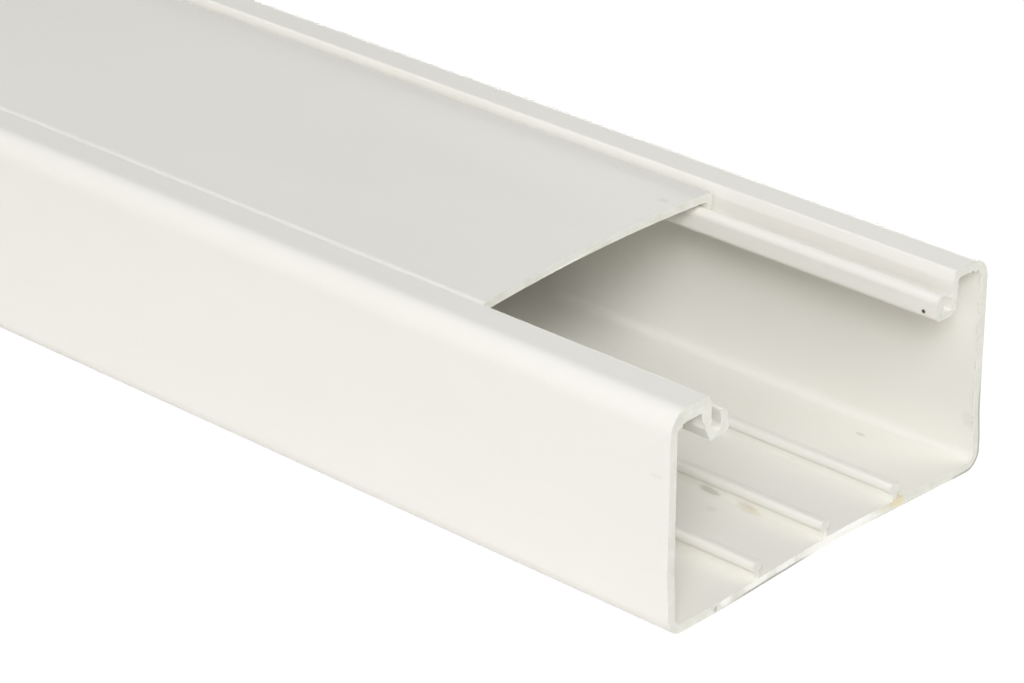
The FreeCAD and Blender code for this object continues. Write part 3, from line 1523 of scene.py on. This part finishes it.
@dataclass(frozen=True)
class Studio:
    """The pale floor, the white surroundings and the soft lights.

    Fields:
        floor_half: half the floor's side, in metres.
        floor_colour: its matt colour, which takes the shadow and lights the object.
        lift: share of white that is mixed into it where the camera sees it.
        white: how strong that white is.
        lights: the soft boxes.
    """

    floor_half: float = 12.0
    floor_colour: Colour = (0.80, 0.80, 0.79)
    lift: float = 0.80
    white: float = 1.14
    lights: tuple[SoftLight, ...] = (
        SoftLight("far_left_front_box", (-2.6, -3.4, 2.6), (1.6, 1.2), 72.0, PLAIN),
        SoftLight("left_front_high_box", (-1.6, -2.5, 1.9), (1.6, 1.2), 24.8, COOL),
        SoftLight("front_box", (0.2, -3.0, 1.6), (1.6, 1.2), 22.5, WARM),
        SoftLight("left_low_box", (-2.6, -1.0, 0.45), (1.8, 0.9), 12.8, ROSY),
        SoftLight("top_box", (0.0, 0.6, 2.6), (2.0, 2.0), 5.6, COOL, (0.0, 0.4, 0.03)),
        SoftLight("far_top_box", (0.0, 1.5, 1.9), (2.0, 1.5), 10.0, PLAIN, (0.0, 1.0, 0.03)),
        SoftLight("front_left_low_box", (-1.0, -3.3, 0.7), (1.6, 1.0), 5.3, WARM),
        SoftLight("left_front_box", (-1.9, -2.9, 0.9), (1.6, 1.2), 5.8, WARM),
        SoftLight("right_low_box", (2.6, 0.0, 0.19), (3.0, 0.34), 29.0, PLAIN, (0.0, 0.0, 0.03)),
        SoftLight("back_low_box", (0.2, 3.4, 0.22), (2.0, 0.38), 30.0, PLAIN, (0.0, 0.95, 0.03)),
    )

    def build(self) -> None:
        """Makes the whole studio."""
        self._floor()
        self._world()
        for light in self.lights:
            light.build()

    def _floor(self) -> None:
        """Makes the floor, which shows white to the camera and keeps the object's shadow."""
        half = self.floor_half
        mesh = bpy.data.meshes.new("studio_floor")
        corners = [(-half, -half, 0), (half, -half, 0), (half, half, 0), (-half, half, 0)]
        mesh.from_pydata(corners, [], [(0, 1, 2, 3)])
        floor = added("studio_floor", mesh)
        material = bpy.data.materials.new("studio_floor")
        material.use_nodes = True
        nodes = Nodes(material.node_tree)
        matt = nodes.node("ShaderNodeBsdfDiffuse", {}, {"Color": (*self.floor_colour, 1.0)})
        glow = nodes.node("ShaderNodeEmission", {}, {"Strength": self.white})
        self._show(nodes, self.lift, matt, glow, "ShaderNodeOutputMaterial")
        mesh.materials.append(material)

    def _world(self) -> None:
        """Makes the surroundings: white where they are seen, and no light from them."""
        world = bpy.data.worlds.new("studio_world")
        bpy.context.scene.world = world
        world.use_nodes = True
        nodes = Nodes(world.node_tree)
        white = (*PLAIN, 1.0)
        unlit = nodes.node("ShaderNodeBackground", {}, {"Color": white, "Strength": 0.0})
        shown = nodes.node("ShaderNodeBackground", {}, {"Color": white, "Strength": 1.0})
        self._show(nodes, 1.0, unlit, shown, "ShaderNodeOutputWorld")

    @staticmethod
    def _show(nodes: Nodes, share: float, lighting: Wire, seen: Wire, end: str) -> None:
        """Ends a tree with one look for the rays that light and another for those that show.

        Args:
            nodes: the tree.
            share: how much of the second look the rays that show get.
            lighting: the look for the rays that light.
            seen: the look that is mixed in for camera, glossy and transmission rays.
            end: the kind of output node.
        """
        path = nodes.made("ShaderNodeLightPath", {}, {})
        names = ("Is Camera Ray", "Is Glossy Ray", "Is Transmission Ray")
        camera, glossy, transmission = (Wire(nodes, path.outputs[name]) for name in names)
        shows = camera.largest(glossy).largest(transmission) * share
        nodes.finish(end, nodes.node("ShaderNodeMixShader", {}, {0: shows, 1: lighting, 2: seen}))


# Making

OFF_WHITE: Colour = (0.882, 0.870, 0.817)
SHADED_WHITE: Colour = (0.853, 0.836, 0.770)
# Grey of the dirt smudges, also used for painted shade inside the left gutter.
GREY_DIRT_AND_SHADE: Colour = (0.50, 0.48, 0.44)
# Dark of two spots on the sawn face near its bottom left.
DARK_SPOT: Colour = (0.16, 0.15, 0.13)
INK: Colour = (0.02, 0.02, 0.02)
OCHRE: Colour = (0.70, 0.60, 0.38)
OLIVE: Colour = (0.50, 0.49, 0.41)
DUST: Colour = (0.92, 0.915, 0.89)
EDGE_SHADE: Colour = (0.34, 0.33, 0.30)

CHANNEL_MARKS = (
    Mark((33.1, -996.0, 40.7), (0.50, 0.55, 0.50), INK, 0.95, 0.15, 0.6),
    Mark((-0.5, -968.6, 2.2), (0.8, 3.0, 1.0), OLIVE, 0.50),
    Mark((-0.3, -978.6, 2.2), (0.8, 3.0, 1.0), OLIVE, 0.28),
    Mark((-1.4, -979.8, 2.0), (1.0, 3.2, 0.8), OCHRE, 0.30),
    Mark((24.0, -998.8, 2.0), (2.0, 2.2, 1.2), OCHRE, 0.65),
    Mark((48.0, -998.3, 11.0), (1.2, 1.9, 1.9), GREY_DIRT_AND_SHADE, 0.14),
    Mark((-50.0, -996.0, 34.7), (1.0, 1.8, 0.5), GREY_DIRT_AND_SHADE, 0.12),
    Mark((-6.2, -973.7, 2.0), (1.0, 1.6, 0.8), GREY_DIRT_AND_SHADE, 0.18),
    Mark((41.2, -975.1, 2.0), (0.7, 1.5, 0.8), GREY_DIRT_AND_SHADE, 0.40),
    # Painted shadow inside the left gutter at the near cut, on the upstand's side.
    Mark((-35.1, -998.3, 42.9), (0.8, 2.4, 1.7), GREY_DIRT_AND_SHADE, 0.40),
)
COVER_MARKS = (
    Mark((25.2, -932.4, 49.0), (1.2, 1.6, 0.8), GREY_DIRT_AND_SHADE, 0.25),
    Mark((-26.5, -938.6, 49.0), (0.7, 0.9, 0.8), GREY_DIRT_AND_SHADE, 0.30),
)
SAWN_MARKS = (
    # Two dark spots on the sawn face near its bottom left.
    Mark((-35.7, -999.5, 0.9), (0.7, 1.0, 0.8), DARK_SPOT, 0.45, 0.4, 0.8),
    Mark((-36.7, -999.5, 2.0), (0.7, 1.0, 0.9), DARK_SPOT, 0.18, 0.4, 0.8),
    Mark((-32.5, -999.5, 1.4), (2.3, 2.0, 1.2), DUST, 0.7),
    Mark((-22.0, -999.5, 1.4), (5.0, 2.0, 1.4), DUST, 0.7),
    Mark((-13.0, -999.5, 1.4), (4.0, 2.0, 1.4), DUST, 0.7),
    Mark((4.0, -999.5, 1.0), (15.0, 3.0, 2.6), DUST, 0.75, 0.3),
    Mark((23.2, -999.5, 1.5), (2.8, 2.0, 1.3), OCHRE, 0.75),
    Mark((18.5, -999.5, 2.2), (3.0, 2.0, 1.4), OCHRE, 0.30),
)
# Painted shade along the sawn face's outer edge, at the bottom and the right.
SAWN_ARRIS_SHADE = (
    Mark((-17.4, -999.5, 0.0), (13.8, 3.0, 2.0), EDGE_SHADE, 0.90, 0.2),
    Mark((49.0, -999.5, 8.0), (8.0, 3.0, 12.0), EDGE_SHADE, 0.85, 0.2),
    Mark((44.0, -999.5, 0.3), (3.6, 3.0, 3.0), EDGE_SHADE, 0.70, 0.3),
)
CHANNEL_SKIN = ExtrudedSkin("channel_skin", OFF_WHITE, SHADED_WHITE, CHANNEL_MARKS)
COVER_SKIN = ExtrudedSkin("cover_skin", OFF_WHITE, SHADED_WHITE, COVER_MARKS)
SAWN = SawnFace(
    "sawn_ends",
    colour=(0.69, 0.69, 0.64),
    dusty=(0.73, 0.73, 0.69),
    shade=(0.60, 0.59, 0.54),
    marks=SAWN_MARKS,
    arris=SAWN_ARRIS_SHADE,
)
TORN = SawnFace(
    "torn_plastic", colour=(0.72, 0.715, 0.665), dusty=(0.78, 0.775, 0.73), shade=(0.62, 0.61, 0.55)
)


def main() -> None:
    """Builds every piece in order and reports it."""
    logging.basicConfig(level=logging.INFO)
    bpy.context.scene.view_settings.view_transform = "Standard"
    PhotoCamera().build()
    Studio().build()
    sawn = SAWN.build()
    channel = Channel()
    pieces = [
        channel.build(CHANNEL_SKIN.build(), sawn),
        Cover().build(COVER_SKIN.build(), sawn),
        *channel.build_flash(TORN.build()),
    ]
    for piece in pieces:
        LOG.info("%s has %d faces", piece.name, len(piece.data.polygons))


if __name__ == "__main__":
    main()
